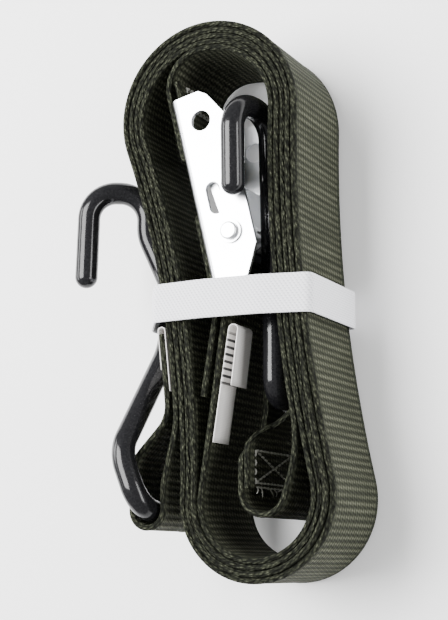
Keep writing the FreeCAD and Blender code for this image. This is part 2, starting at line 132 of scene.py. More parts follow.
def turned(start: float, end: float, clockwise: bool) -> float:
    """The end angle, reached from the start in the given sense."""
    full = 2 * math.pi
    return start - (start - end) % full if clockwise else start + (end - start) % full


def unit(p: Point, q: Point) -> Point:
    """Direction from one point to another."""
    d = math.dist(p, q)
    return ((q[0] - p[0]) / d, (q[1] - p[1]) / d)


def rounded(points: list[Point], radii: list[float]) -> Route:
    """Straight runs through the points, with a round bend at each inner one.

    Args:
        points: the route's corners, in order.
        radii: one bend radius for each inner corner.

    Returns:
        The runs and bends, in order.
    """
    route: Route = []
    last = points[0]
    for i, radius in enumerate(radii, 1):
        corner = points[i]
        back = unit(corner, points[i - 1])
        ahead = unit(corner, points[i + 1])
        half = math.acos(max(-1.0, min(1.0, back[0] * ahead[0] + back[1] * ahead[1]))) / 2
        reach = radius / math.tan(half)
        start = (corner[0] + back[0] * reach, corner[1] + back[1] * reach)
        end = (corner[0] + ahead[0] * reach, corner[1] + ahead[1] * reach)
        middle = (back[0] + ahead[0], back[1] + ahead[1])
        size = math.hypot(*middle)
        out = radius / math.sin(half)
        centre = (corner[0] + middle[0] / size * out, corner[1] + middle[1] / size * out)
        clockwise = back[1] * ahead[0] - back[0] * ahead[1] < 0
        first = angle_of(centre, start)
        route.append(Run(last, start))
        route.append(Bend(centre, radius, first, turned(first, angle_of(centre, end), clockwise)))
        last = end
    route.append(Run(last, points[-1]))
    return route


@dataclass
class Line:
    """A route as stations: plan points with their distance along it."""

    points: list[Point]
    along: list[float]
    closed: bool = False

    @classmethod
    def of(cls, route: Route, closed: bool = False) -> "Line":
        """Stations along a route."""
        points = [route[0].start]
        along = [0.0]
        for piece in route:
            if piece.length() < 1e-6:
                continue
            n = piece.steps()
            for k in range(1, n + 1):
                points.append(piece.at(k / n))
                along.append(along[-1] + piece.length() / n)
        return cls(points, along, closed)

    def normal(self, i: int) -> Point:
        """Direction to the left of travel at a station."""
        n = len(self.points)
        if self.closed:
            before, after = self.points[(i - 1) % (n - 1)], self.points[(i + 1) % (n - 1)]
        else:
            before, after = self.points[max(i - 1, 0)], self.points[min(i + 1, n - 1)]
        t = unit(before, after)
        return (-t[1], t[0])

    def nearest(self, p: Point) -> float:
        """Distance along the line to the station closest to a point."""
        return self.along[min(range(len(self.points)), key=lambda i: math.dist(self.points[i], p))]


# ---------------------------------------------------------------- finishes
class Nodes:
    """Short names for the shader nodes of one material."""

    def __init__(self, name: str) -> None:
        """Start a material with a Principled shader."""
        self.material = bpy.data.materials.new(name)
        self.material.use_nodes = True
        self.tree = self.material.node_tree
        self.shader = self.tree.nodes["Principled BSDF"]

    def add(self, kind: str, **values: object) -> bpy.types.Node:
        """Add a node and set its properties or input values."""
        node = self.tree.nodes.new(kind)
        for key, value in values.items():
            if hasattr(node, key):
                setattr(node, key, value)
            else:
                node.inputs[key.replace("_", " ")].default_value = value
        return node

    def link(self, source: bpy.types.NodeSocket, target: bpy.types.NodeSocket) -> None:
        """Join two sockets."""
        self.tree.links.new(source, target)

    def sums(self, kind: str, a: object, b: object = 0.0, c: object = 0.0) -> bpy.types.NodeSocket:
        """A Math node on sockets or numbers."""
        node = self.tree.nodes.new("ShaderNodeMath")
        node.operation = kind
        for i, value in enumerate((a, b, c)):
            if isinstance(value, bpy.types.NodeSocket):
                self.link(value, node.inputs[i])
            else:
                node.inputs[i].default_value = float(value)
        return node.outputs[0]

    def wave(
        self, source: bpy.types.NodeSocket, period: float, shift: object = 0.0
    ) -> bpy.types.NodeSocket:
        """A sine of the source, from 0 to 1, one cycle each period."""
        turn = self.sums("MULTIPLY_ADD", source, 2 * math.pi / period, shift)
        return self.sums("MULTIPLY_ADD", self.sums("SINE", turn), 0.5, 0.5)

    def ramp(
        self, source: bpy.types.NodeSocket, stops: list[tuple[float, tuple[float, float, float]]]
    ) -> bpy.types.NodeSocket:
        """Colours along a value."""
        node = self.tree.nodes.new("ShaderNodeValToRGB")
        bar = node.color_ramp.elements
        while len(bar) < len(stops):
            bar.new(0.5)
        for element, (place, colour) in zip(bar, stops):
            element.position = place
            element.color = (*colour, 1.0)
        self.link(source, node.inputs[0])
        return node.outputs[0]

    def blend(self, part: bpy.types.NodeSocket, a: object, b: object) -> bpy.types.NodeSocket:
        """Mix two colours by a value."""
        node = self.tree.nodes.new("ShaderNodeMix")
        node.data_type = "RGBA"
        self.link(part, node.inputs[0])
        for socket, value in ((node.inputs[6], a), (node.inputs[7], b)):
            if isinstance(value, bpy.types.NodeSocket):
                self.link(value, socket)
            else:
                socket.default_value = (*value, 1.0)
        return node.outputs[2]

    def bump(self, height: bpy.types.NodeSocket, strength: float, distance: float) -> None:
        """Raise the surface by a height."""
        node = self.add("ShaderNodeBump", Strength=strength, Distance=distance)
        self.link(height, node.inputs["Height"])
        self.link(node.outputs[0], self.shader.inputs["Normal"])

    def uv(self) -> tuple[bpy.types.NodeSocket, bpy.types.NodeSocket]:
        """Length along and distance round the piece, in millimetres."""
        node = self.add("ShaderNodeUVMap", uv_map="lay")
        parts = self.add("ShaderNodeSeparateXYZ")
        self.link(node.outputs[0], parts.inputs[0])
        return parts.outputs[0], parts.outputs[1]

    def vector(self, x: object, y: object) -> bpy.types.NodeSocket:
        """A vector from two values."""
        node = self.tree.nodes.new("ShaderNodeCombineXYZ")
        self.link(x, node.inputs[0])
        self.link(y, node.inputs[1])
        return node.outputs[0]

    def noise(self, scale: float, detail: float = 3.0, where: object = None) -> bpy.types.NodeSocket:
        """Cloudy noise on Object coordinates or a given vector."""
        node = self.add("ShaderNodeTexNoise", Scale=scale, Detail=detail)
        if where is None:
            where = self.add("ShaderNodeTexCoord").outputs["Object"]
        self.link(where, node.inputs["Vector"])
        return node.outputs[0]


@dataclass(frozen=True)
class Webbing:
    """Olive woven webbing: ribs across, warp cords along, and a knitted selvedge."""

    dark: tuple[float, float, float] = (0.004, 0.0045, 0.003)
    mid: tuple[float, float, float] = (0.034, 0.037, 0.024)
    light: tuple[float, float, float] = (0.120, 0.124, 0.088)
    pick: float = 2.1
    cord: float = 1.9
    wander: float = 0.9
    loop_along: float = 0.62
    loop_round: float = 1.25
    relief: float = 0.0009

    def make(self) -> bpy.types.Material:
        """Build the material."""
        n = Nodes("olive_webbing")
        along, round_ = n.uv()
        edge = n.add("ShaderNodeAttribute", attribute_name="selvedge").outputs["Fac"]
        swirl = n.noise(0.55, 2.0, n.vector(along, round_))
        wobble = n.sums("MULTIPLY", swirl, self.wander)
        phase = n.sums("MULTIPLY", round_, 2 * math.pi / (self.cord * 2))
        picks = n.wave(along, self.pick, wobble)
        cords = n.wave(round_, self.cord)
        twill = n.wave(along, self.pick * 0.5, phase)
        columns = n.sums("MULTIPLY_ADD", cords, 0.5, 0.5)
        face = n.sums("MULTIPLY", columns, n.sums("MULTIPLY_ADD", picks, 0.72, 0.28))
        face = n.sums("ADD", n.sums("MULTIPLY", face, 0.85), n.sums("MULTIPLY", twill, 0.15))
        stretched = n.vector(n.sums("MULTIPLY", along, 0.42), n.sums("MULTIPLY", round_, 0.03))
        bars = n.noise(1.0, 2.0, stretched)
        bars = n.sums("MULTIPLY_ADD", bars, 0.9, 0.45)
        face_tone = n.sums("MULTIPLY", face, bars)
        loops = n.add("ShaderNodeTexVoronoi", Scale=1.0, Randomness=0.75)
        lean = n.sums("MULTIPLY_ADD", round_, 0.35, n.sums("MULTIPLY", along, self.loop_along))
        n.link(n.vector(lean, n.sums("MULTIPLY", round_, self.loop_round)), loops.inputs["Vector"])
        knit = n.sums("SUBTRACT", 1.0, n.sums("MULTIPLY", loops.outputs["Distance"], 1.25))
        fleck = n.noise(2.6, 2.0, n.vector(along, round_))
        knit_tone = n.sums("MULTIPLY", n.sums("POWER", knit, 1.7), n.sums("MULTIPLY_ADD", fleck, 1.9, -0.1))
        middle = n.sums("SUBTRACT", 1.0, edge)
        tone = n.sums("ADD", n.sums("MULTIPLY", middle, face_tone), n.sums("MULTIPLY", edge, knit_tone))
        colour = n.ramp(tone, [(0.0, self.dark), (0.42, self.mid), (0.95, self.light)])
        n.link(colour, n.shader.inputs["Base Color"])
        height = n.sums("ADD", n.sums("MULTIPLY", middle, face), n.sums("MULTIPLY", edge, knit))
        n.bump(height, 1.0, self.relief)
        n.shader.inputs["Roughness"].default_value = 0.85
        n.shader.inputs["Specular IOR Level"].default_value = 0.10
        n.shader.inputs["Sheen Weight"].default_value = 0.0
        return n.material


@dataclass(frozen=True)
class Zinc:
    """Bright zinc-plated steel with a faint grain and cloudiness."""

    name: str = "bright_zinc"
    tone: float = 0.88
    rough: float = 0.30

    def make(self) -> bpy.types.Material:
        """Build the material."""
        n = Nodes(self.name)
        cloud = n.noise(260.0, 4.0)
        grain = n.noise(2600.0, 3.0)
        t = self.tone
        colour = n.ramp(cloud, [(0.25, (t * 0.90, t * 0.93, t * 0.97)), (0.75, (t, t, t * 1.01))])
        n.link(colour, n.shader.inputs["Base Color"])
        n.shader.inputs["Metallic"].default_value = 1.0
        n.link(n.sums("MULTIPLY_ADD", cloud, 0.16, self.rough - 0.08), n.shader.inputs["Roughness"])
        n.bump(grain, 0.06, 0.0002)
        return n.material


@dataclass(frozen=True)
class Vinyl:
    """Dipped black vinyl: glossy, with faint waves in the coat."""

    def make(self) -> bpy.types.Material:
        """Build the material."""
        n = Nodes("black_vinyl")
        drips = n.noise(160.0, 2.0)
        specks = n.noise(1500.0, 2.0)
        colour = n.ramp(specks, [(0.3, (0.004, 0.004, 0.005)), (0.8, (0.012, 0.012, 0.013))])
        n.link(colour, n.shader.inputs["Base Color"])
        n.link(n.sums("MULTIPLY_ADD", specks, 0.10, 0.10), n.shader.inputs["Roughness"])
        n.shader.inputs["Specular IOR Level"].default_value = 0.32
        n.bump(drips, 0.10, 0.0008)
        return n.material


@dataclass(frozen=True)
class Elastic:
    """White elastic with fine slanting ribs."""

    def make(self) -> bpy.types.Material:
        """Build the material."""
        n = Nodes("white_elastic")
        along, round_ = n.uv()
        slant = n.wave(along, 1.3, n.sums("MULTIPLY", round_, 2 * math.pi / 1.9))
        rows = n.wave(round_, 0.75)
        twill = n.sums("MULTIPLY_ADD", slant, 0.6, 0.4)
        weave = n.sums("MULTIPLY", twill, n.sums("MULTIPLY_ADD", rows, 0.5, 0.5))
        colour = n.ramp(weave, [(0.10, (0.40, 0.40, 0.44)), (0.50, (0.80, 0.80, 0.83))])
        n.link(colour, n.shader.inputs["Base Color"])
        n.shader.inputs["Roughness"].default_value = 0.7
        n.bump(weave, 0.5, 0.0003)
        return n.material


@dataclass(frozen=True)
class LabelCloth:
    """White label tape, with plain dark bars where it is printed."""

    bar_step: float = 2.2

    def make(self) -> bpy.types.Material:
        """Build the material."""
        n = Nodes("label_cloth")
        along, round_ = n.uv()
        weave = n.sums("MULTIPLY", n.wave(along, 0.5), n.wave(round_, 0.5))
        cloth = n.ramp(weave, [(0.0, (0.70, 0.68, 0.66)), (0.8, (0.84, 0.82, 0.80))])
        bar = n.sums("GREATER_THAN", n.wave(along, self.bar_step), 0.68)
        inside = n.add("ShaderNodeAttribute", attribute_name="printed").outputs["Fac"]
        ink = n.sums("MULTIPLY", bar, inside)
        n.link(n.blend(ink, cloth, (0.02, 0.02, 0.022)), n.shader.inputs["Base Color"])
        n.shader.inputs["Roughness"].default_value = 0.6
        n.bump(weave, 0.25, 0.0001)
        return n.material


@dataclass(frozen=True)
class Thread:
    """Twisted sewing thread."""

    def make(self) -> bpy.types.Material:
        """Build the material."""
        n = Nodes("grey_thread")
        fuzz = n.noise(2200.0, 3.0)
        colour = n.ramp(fuzz, [(0.3, (0.26, 0.26, 0.23)), (0.7, (0.52, 0.52, 0.48))])
        n.link(colour, n.shader.inputs["Base Color"])
        n.shader.inputs["Roughness"].default_value = 0.6
        n.bump(fuzz, 0.5, 0.0002)
        return n.material


@dataclass(frozen=True)
class SpringWire:
    """Dark drawn spring wire."""

    def make(self) -> bpy.types.Material:
        """Build the material."""
        n = Nodes("spring_wire")
        grain = n.noise(900.0, 3.0)
        tone = n.ramp(grain, [(0.2, (0.20, 0.20, 0.21)), (0.8, (0.42, 0.42, 0.43))])
        n.link(tone, n.shader.inputs["Base Color"])
        n.shader.inputs["Metallic"].default_value = 1.0
        n.link(n.sums("MULTIPLY_ADD", grain, 0.2, 0.3), n.shader.inputs["Roughness"])
        return n.material


class Finish(Enum):
    """The finishes used on the strap, one material each."""

    WEBBING = Webbing()
    ZINC = Zinc()
    PIN = Zinc("pin_zinc", 0.82, 0.24)
    VINYL = Vinyl()
    ELASTIC = Elastic()
    LABEL = LabelCloth()
    THREAD = Thread()
    SPRING = SpringWire()


@dataclass
class Wardrobe:
    """Makes each finish once."""

    made: dict[Finish, bpy.types.Material] = field(default_factory=dict)

    def get(self, finish: Finish) -> bpy.types.Material:
        """The material of a finish."""
        if finish not in self.made:
            self.made[finish] = finish.value.make()
        return self.made[finish]


# ---------------------------------------------------------------- mesh tools
@dataclass(frozen=True)
class Place:
    """The shift from the design's plan, in millimetres, to the model's frame."""

    x: float
    y: float
    z: float

    def point(self, x: float, y: float, z: float) -> Vector:
        """A plan point in metres in the model's frame."""
        return Vector(((x + self.x) * MM, (y + self.y) * MM, (z + self.z) * MM))


def make_object(name: str, bm: bmesh.types.BMesh, material: bpy.types.Material) -> bpy.types.Object:
    """Turn a bmesh into a smooth-shaded object with one material."""
    mesh = bpy.data.meshes.new(name)
    for f in bm.faces:
        f.smooth = True
    bm.to_mesh(mesh)
    bm.free()
    mesh.materials.append(material)
    piece = bpy.data.objects.new(name, mesh)
    bpy.context.scene.collection.objects.link(piece)
    LOG.info("%s: %d faces", name, len(mesh.polygons))
    return piece


@dataclass(frozen=True)
class Section:
    """The cross-section of a tape: a flat body with two round selvedges."""

    width: float
    thick: float
    edge_thick: float
    stations: tuple[float, ...] = (0.06, 0.16, 0.30, 0.5, 0.70, 0.84, 0.94)
    arc: int = 5

    def ring(self) -> list[tuple[float, float, float]]:
        """Points round the section: across, thickness offset and selvedge weight."""
        half = self.thick / 2
        edge = self.edge_thick / 2
        low, high = edge, self.width - edge
        points = []
        for side, order in ((1.0, self.stations), (-1.0, tuple(reversed(self.stations)))):
            for part in order:
                points.append((low + (high - low) * part, half * side, 0.0))
            end, sign = (high, 1.0) if side > 0 else (low, -1.0)
            for k in range(self.arc + 1):
                a = math.pi / 2 - math.pi * k / self.arc
                points.append((end + sign * edge * math.cos(a), sign * edge * math.sin(a), 1.0))
        return points


@dataclass
class Tape:
    """A woven tape that follows a line, built by wrapping a grid round it."""

    name: str
    line: Line
    section: Section
    place: Place
    base: float = 0.0
    narrow: list[tuple[float, float, float, float, float]] = field(default_factory=list)
    drift: float = 0.0
    still: float = 0.0
    printed: tuple[float, float] = (0.0, 0.0)
    standing: bool = True

    def spot(self, across: float, up: float, level: float) -> Vector:
        """A point from plan distances and a height; a lying tape's plan is seen along y."""
        if self.standing:
            return self.place.point(across, up, level)
        return self.place.point(across, level, up)

    def reach(self, along: float, up: float) -> tuple[float, float]:
        """The tape's low and high edge at a distance along it.

        Args:
            along: distance from the tape's start.
            up: the station's own level in plan; the tape lies still where the band holds it.

        Returns:
            Heights of the two edges.
        """
        low, high = 0.0, self.section.width
        for middle, flat, full, narrow_low, narrow_high in self.narrow:
            away = abs(along - middle)
            part = min(1.0, max(0.0, (full - away) / (full - flat)))
            part = part * part * (3 - 2 * part)
            low += (narrow_low - low) * part
            high += (narrow_high - high) * part
        calm = min(1.0, abs(up - self.still) / 30.0)
        slip = self.drift * calm * (math.sin(along / 97.0) + 0.6 * math.sin(along / 41.0 + 1.3))
        return low + slip, high + slip

    def build(self, material: bpy.types.Material) -> bpy.types.Object:
        """Make the tape's mesh."""
        ring = self.section.ring()
        count = len(self.line.points)
        bm = bmesh.new()
        bmesh.ops.create_grid(bm, x_segments=count - 1, y_segments=len(ring), size=0.5)
        bm.verts.ensure_lookup_table()
        lay = bm.loops.layers.uv.new("lay")
        selvedge = bm.verts.layers.float.new("selvedge")
        printed = bm.verts.layers.float.new("printed")
        girth = [0.0]
        for k in range(len(ring)):
            a, b = ring[k], ring[(k + 1) % len(ring)]
            girth.append(girth[-1] + math.dist(a[:2], b[:2]))
        normals = [self.line.normal(i) for i in range(count)]
        spots = {}
        for v in bm.verts:
            i = round((v.co.x + 0.5) * (count - 1))
            k = round((v.co.y + 0.5) * len(ring))
            spots[v] = (i, k)
        for f in bm.faces:
            for loop in f.loops:
                i, k = spots[loop.vert]
                loop[lay].uv = (self.line.along[i], girth[k])
        for v, (i, k) in spots.items():
            across, offset, weight = ring[k % len(ring)]
            x, y = self.line.points[i]
            low, high = self.reach(self.line.along[i], y)
            nx, ny = normals[i]
            z = low + across / self.section.width * (high - low)
            v.co = self.spot(x + nx * offset, y + ny * offset, self.base + z)
            v[selvedge] = weight
            on_face = offset < 0 and self.printed[0] < self.line.along[i] < self.printed[1]
            v[printed] = 1.0 if on_face else 0.0
        bmesh.ops.remove_doubles(bm, verts=bm.verts, dist=1e-6)
        if not self.line.closed:
            open_edges = [e for e in bm.edges if e.is_boundary]
            bmesh.ops.holes_fill(bm, edges=open_edges, sides=0)
        bmesh.ops.recalc_face_normals(bm, faces=bm.faces)
        return make_object(self.name, bm, material)


def sweep_tube(bm: bmesh.types.BMesh, path: list[Vector], radii: list[float], sides: int) -> None:
    """Add a closed round tube to a mesh.

    Args:
        bm: the mesh that grows.
        path: stations along the tube's middle, in metres.
        radii: the tube's radius at each station.
        sides: number of sides of the tube.
    """
    heading = (path[1] - path[0]).normalized()
    turn = Vector((0, 0, 1)).rotation_difference(heading).to_matrix()
    ring = bmesh.ops.create_circle(bm, cap_ends=False, radius=1.0, segments=sides)["verts"]
    circle = [v.co.copy() for v in ring]
    first = [bm.edges.get((ring[k], ring[(k + 1) % sides])) for k in range(sides)]
    for i, (spot, radius) in enumerate(zip(path, radii)):
        if 0 < i < len(path) - 1:
            ahead = (path[i + 1] - path[i - 1]).normalized()
            turn = heading.rotation_difference(ahead).to_matrix() @ turn
            heading = ahead
        if i:
            edges = [bm.edges.get((ring[k], ring[(k + 1) % sides])) for k in range(sides)]
            grown = bmesh.ops.extrude_edge_only(bm, edges=edges)["geom"]
            fresh = {g for g in grown if isinstance(g, bmesh.types.BMVert)}
            ring = [next(e.other_vert(v) for e in v.link_edges if e.other_vert(v) in fresh) for v in ring]
        for v, around in zip(ring, circle):
            v.co = spot + turn @ (around * radius)
    last = [bm.edges.get((ring[k], ring[(k + 1) % sides])) for k in range(sides)]
    bmesh.ops.holes_fill(bm, edges=first + last, sides=0)


# ---------------------------------------------------------------- the bundle's layout
@dataclass(frozen=True)
class Layout:
    """The design's driving sizes and the routes that follow from them, in millimetres."""

    web_width: float = 38.0
    web_thick: float = 1.7
    layer_gap: float = 0.2
    coil_turns: int = 4
    top_end: Point = (-6.0, 65.0)
    top_radius: float = 30.0
    bottom_end: Point = (9.0, -54.0)
    bottom_radius: float = 26.0
    right_waist: float = 450.0
    left_waist: float = 300.0
    buckle_corner: Point = (-3.2, 9.0)
    buckle_lean: float = math.radians(13.5)
    buckle_length: float = 62.0
    sheet: float = 1.5
    bar_a: float = 17.0
    bar_b: float = 22.3
    side_play: float = 0.8
    coat_radius: float = 3.65
    hook_span: float = 19.0
    left_eye: Point = (-26.0, -58.0)
    centre_eye: Point = (11.5, -24.0)
    eye_slack: float = 0.45
    swing_slack: float = 0.8
    slide_slack: float = 3.5
    join_level: float = -24.0
    lap_top: float = -4.0
    tail_end: Point = (-7.3, -24.0)
    band_centre: float = 5.5
    short_knee: float = -28.0
    short_foot: Point = (19.0, -55.0)
    short_foot_radius: float = 7.0
    ply_rise: float = 19.0
    centre_tip_gap: float = 0.6
    centre_hook_run: float = 4.4

    @property
    def pitch(self) -> float:
        """Distance from one layer of webbing to the next."""
        return self.web_thick + self.layer_gap

    def inset(self, turn: int) -> float:
        """Distance from the coil's outline to the middle of a layer."""
        return self.web_thick / 2 + self.pitch * turn

    def waist_centre(self, radius: float, side: float) -> Point:
        """Centre of the hollow side arc that touches both round ends."""
        a, b = self.top_radius + radius, self.bottom_radius + radius
        d = math.dist(self.top_end, self.bottom_end)
        along = (a * a - b * b + d * d) / (2 * d)
        off = math.sqrt(a * a - along * along) * side
        e = unit(self.top_end, self.bottom_end)
        return (self.top_end[0] + e[0] * along - e[1] * off, self.top_end[1] + e[1] * along + e[0] * off)

    @property
    def right_centre(self) -> Point:
        """Centre of the right waist arc."""
        return self.waist_centre(self.right_waist, 1.0)

    @property
    def left_centre(self) -> Point:
        """Centre of the left waist arc."""
        return self.waist_centre(self.left_waist, -1.0)

    def side_at(self, y: float, side: float) -> float:
        """Where the coil's outline crosses a level, on the right (+1) or the left (-1)."""
        r = self.right_waist if side > 0 else self.left_waist
        c = self.right_centre if side > 0 else self.left_centre
        return c[0] - side * math.sqrt(r * r - (y - c[1]) ** 2)

    def buckle(self, s: float, w: float) -> Point:
        """A plan point from distances up the buckle and across it."""
        sin, cos = math.sin(self.buckle_lean), math.cos(self.buckle_lean)
        return (self.buckle_corner[0] - s * sin + w * cos, self.buckle_corner[1] + s * cos + w * sin)

    @property
    def inner_leg(self) -> float:
        """Middle of the strap inside the base bars, across the buckle."""
        return self.sheet + 0.15 + self.web_thick / 2

    @property
    def outer_leg(self) -> float:
        """Middle of the strap outside the base bars, across the buckle."""
        return -0.15 - self.web_thick / 2

    def turn(self, turn: int) -> tuple[Route, Bend]:
        """One turn of the coil, and the easing arc that ends it one layer further in."""
        r = self.bottom_radius - self.inset(turn)
        down = -math.pi / 2
        rc, lc, top, low = self.right_centre, self.left_centre, self.top_end, self.bottom_end
        a0 = angle_of(top, lc)
        end = turned(a0, angle_of(top, rc), True)
        route: Route = [Bend(top, self.top_radius - self.inset(turn), a0, end)]
        a0 = angle_of(rc, top)
        route.append(Bend(rc, self.right_waist + self.inset(turn), a0, turned(a0, angle_of(rc, low), False)))
        a0 = angle_of(low, rc)
        route.append(Bend(low, r, a0, turned(a0, down, True)))
        both = r + self.left_waist + self.inset(turn + 1)
        w = (low[0] - lc[0], low[1] - lc[1])
        dot = w[0] * math.cos(down) + w[1] * math.sin(down)
        ease = (both * both - w[0] ** 2 - w[1] ** 2) / (2 * (dot + both))
        centre = polar(low, ease, down)
        last = Bend(centre, r - ease, down, turned(down, angle_of(centre, lc), True))
        route.append(last)
        return route, last

    def long_route(self) -> Route:
        """From the left hook's eye, round the coil, to the free tail past bar B."""
        lc = self.left_centre
        r = self.left_waist + self.inset(0)
        er = self.coat_radius + self.swing_slack + self.web_thick / 2
        lap = self.web_thick + 1.0
        join_angle = math.asin((self.join_level - lc[1]) / r)
        join = polar(lc, r, join_angle)
        foot = (join[0] + math.sin(join_angle) * 8.0, join[1] - math.cos(join_angle) * 8.0)
        inner = (self.left_eye[0] + er, self.left_eye[1])
        outer = (self.left_eye[0] - er, self.left_eye[1])
        lap_start = (self.side_at(self.lap_top, -1.0) + self.web_thick / 2 - lap, self.lap_top)
        route = rounded(
            [lap_start, (foot[0] - lap, foot[1] + 2.0), (outer[0], outer[1] + 15.0), outer], [10.0, 10.0]
        )
        route.append(Bend(self.left_eye, er, math.pi, 2 * math.pi))
        route += rounded([inner, (inner[0], inner[1] + 8.0), foot, join], [20.0, 30.0])
        route.append(Bend(lc, r, join_angle, angle_of(lc, self.top_end)))
        last = None
        for turn in range(self.coil_turns):
            made, last = self.turn(turn)
            route += made
            if turn < self.coil_turns - 1:
                a0 = angle_of(lc, last.centre)
                ring = self.left_waist + self.inset(turn + 1)
                route.append(Bend(lc, ring, a0, turned(a0, angle_of(lc, self.top_end), False)))
        route.pop()
        mouth = self.buckle(-5.0, self.inner_leg)
        run = (mouth[0] - last.centre[0], mouth[1] - last.centre[1])
        tilt = math.atan2(run[1], run[0]) + math.acos(last.radius / math.hypot(*run))
        leave = turned(last.first, tilt, True)
        route.append(Bend(last.centre, last.radius, last.first, leave))
        u = (self.inner_leg - self.outer_leg) / 2
        level = self.bar_b + 0.2
        hub, up = self.buckle(level, self.inner_leg - u), self.buckle(level, self.inner_leg)
        route += rounded([route[-1].end, mouth, up], [25.0])
        a0 = angle_of(hub, up)
        route.append(Bend(hub, u, a0, a0 + math.pi))
        over = self.buckle(level, self.outer_leg)
        route += rounded([over, self.buckle(-5.5, self.outer_leg), self.tail_end], [25.0])
        return route

    def short_route(self) -> Route:
        """From the sewn end above bar A, round the bar, over the top, down the right, to the eye."""
        u = (self.inner_leg - self.outer_leg) / 2
        level = self.buckle_length - self.bar_a - 0.2
        hub, start = self.buckle(level, self.inner_leg - u), self.buckle(level, self.inner_leg)
        out = self.buckle(level, self.outer_leg)
        route: Route = [Run(self.buckle(self.buckle_length + 7.0, self.inner_leg), start)]
        a0 = angle_of(hub, start)
        route.append(Bend(hub, u, a0, a0 - math.pi))
        side = self.inset(self.coil_turns)
        top_r = self.top_radius - side
        crown = (self.top_end[0], self.top_end[1] + top_r)
        climb = (crown[1] - out[1]) / math.cos(self.buckle_lean)
        route += rounded([out, (out[0] - math.sin(self.buckle_lean) * climb, crown[1]), crown], [12.0])
        rc = self.right_centre
        end = turned(math.pi / 2, angle_of(self.top_end, rc), True)
        route.append(Bend(self.top_end, top_r, math.pi / 2, end))
        r = self.right_waist + side
        a_top = turned(0.0, angle_of(rc, self.top_end), False)
        a_low = math.pi - math.asin((self.short_knee - rc[1]) / r)
        route.append(Bend(rc, r, a_top, a_low))
        low_r, foot = self.short_foot_radius, self.short_foot
        p_low = polar(rc, r, a_low)
        bend = (p_low[0] - math.sin(a_low) * 12.0, p_low[1] + math.cos(a_low) * 12.0)
        route += rounded([p_low, bend, foot], [40.0])
        h = unit(bend, foot)
        centre = (foot[0] + h[1] * low_r, foot[1] - h[0] * low_r)
        a0 = angle_of(centre, foot)
        ply = (centre[0] - low_r, centre[1])
        route.append(Bend(centre, low_r, a0, turned(a0, math.pi, True)))
        er = self.coat_radius + self.eye_slack + self.web_thick / 2
        bight = (self.centre_eye[0], self.centre_eye[1] + self.slide_slack)
        left, right = (bight[0] - er, bight[1]), (bight[0] + er, bight[1])
        top_ply = (ply[0], ply[1] + self.ply_rise)
        route += rounded([ply, top_ply, (left[0], left[1] - 7.0), left], [14.0, 8.0])
        route.append(Bend(bight, er, math.pi, 0.0))
        lap = (top_ply[0] + self.web_thick + 0.1, top_ply[1] - 0.4)
        route += rounded([right, (right[0], right[1] - 6.0), lap, (lap[0], -52.0)], [6.0, 5.0])
        return route

    def hook_depths(self) -> tuple[float, float]:
        """Heights of the centre hook's near tip and of its shank."""
        tip = self.web_width + self.side_play + self.sheet + self.centre_tip_gap + self.coat_radius
        return tip, tip - math.sqrt(self.hook_span**2 - self.centre_hook_run**2)


# ---------------------------------------------------------------- sub-assemblies
@dataclass
class Straps:
    """The long coiled strap and the short strap that joins the buckle to the centre hook."""

    layout: Layout
    place: Place
    wardrobe: Wardrobe
    section: Section = Section(38.0, 1.55, 1.8)
    long_slip: float = 0.4
    short_slip: float = 0.25
    left_gather: Point = (17.3, 28.5)
    centre_gather: Point = (20.3, 31.3)
    left_eye_web: float = 25.0
    centre_eye_web: float = 13.5
    centre_eye_span: float = 22.8

    def build(self) -> None:
        """Build both straps and fix them to the bundle."""
        lay = self.layout
        long_line = Line.of(lay.long_route())
        er = lay.coat_radius + lay.swing_slack + lay.web_thick / 2
        foot = long_line.nearest((lay.left_eye[0], lay.left_eye[1] - er))
        low = lay.web_width - self.left_eye_web
        gather = (foot, *self.left_gather, low, lay.web_width)
        self.strap("long_webbing", long_line, gather, "long_strap", self.long_slip)
        short_line = Line.of(lay.short_route())
        er = lay.coat_radius + lay.eye_slack + lay.web_thick / 2
        crest = short_line.nearest((lay.centre_eye[0], lay.centre_eye[1] + lay.slide_slack + er))
        middle = lay.hook_depths()[1] - self.centre_eye_span / 2
        half = self.centre_eye_web / 2
        gather = (crest, *self.centre_gather, middle - half, middle + half)
        self.strap("short_webbing", short_line, gather, "short_strap", self.short_slip)

    def strap(
        self, name: str, line: Line, gather: tuple[float, float, float, float, float], node: str, drift: float
    ) -> None:
        """Make one strap.

        Args:
            name: the piece's name.
            line: the strap's middle in plan.
            gather: where and how far the strap narrows at its hook.
            node: the model's solid that the strap stands for.
            drift: how far its layers slip up and down.
        """
        lay = self.layout
        tape = Tape(name, line, self.section, self.place, narrow=[gather], drift=drift, still=lay.band_centre)
        piece = tape.build(self.wardrobe.get(Finish.WEBBING))
        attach(piece, "bundle")
        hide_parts(node)


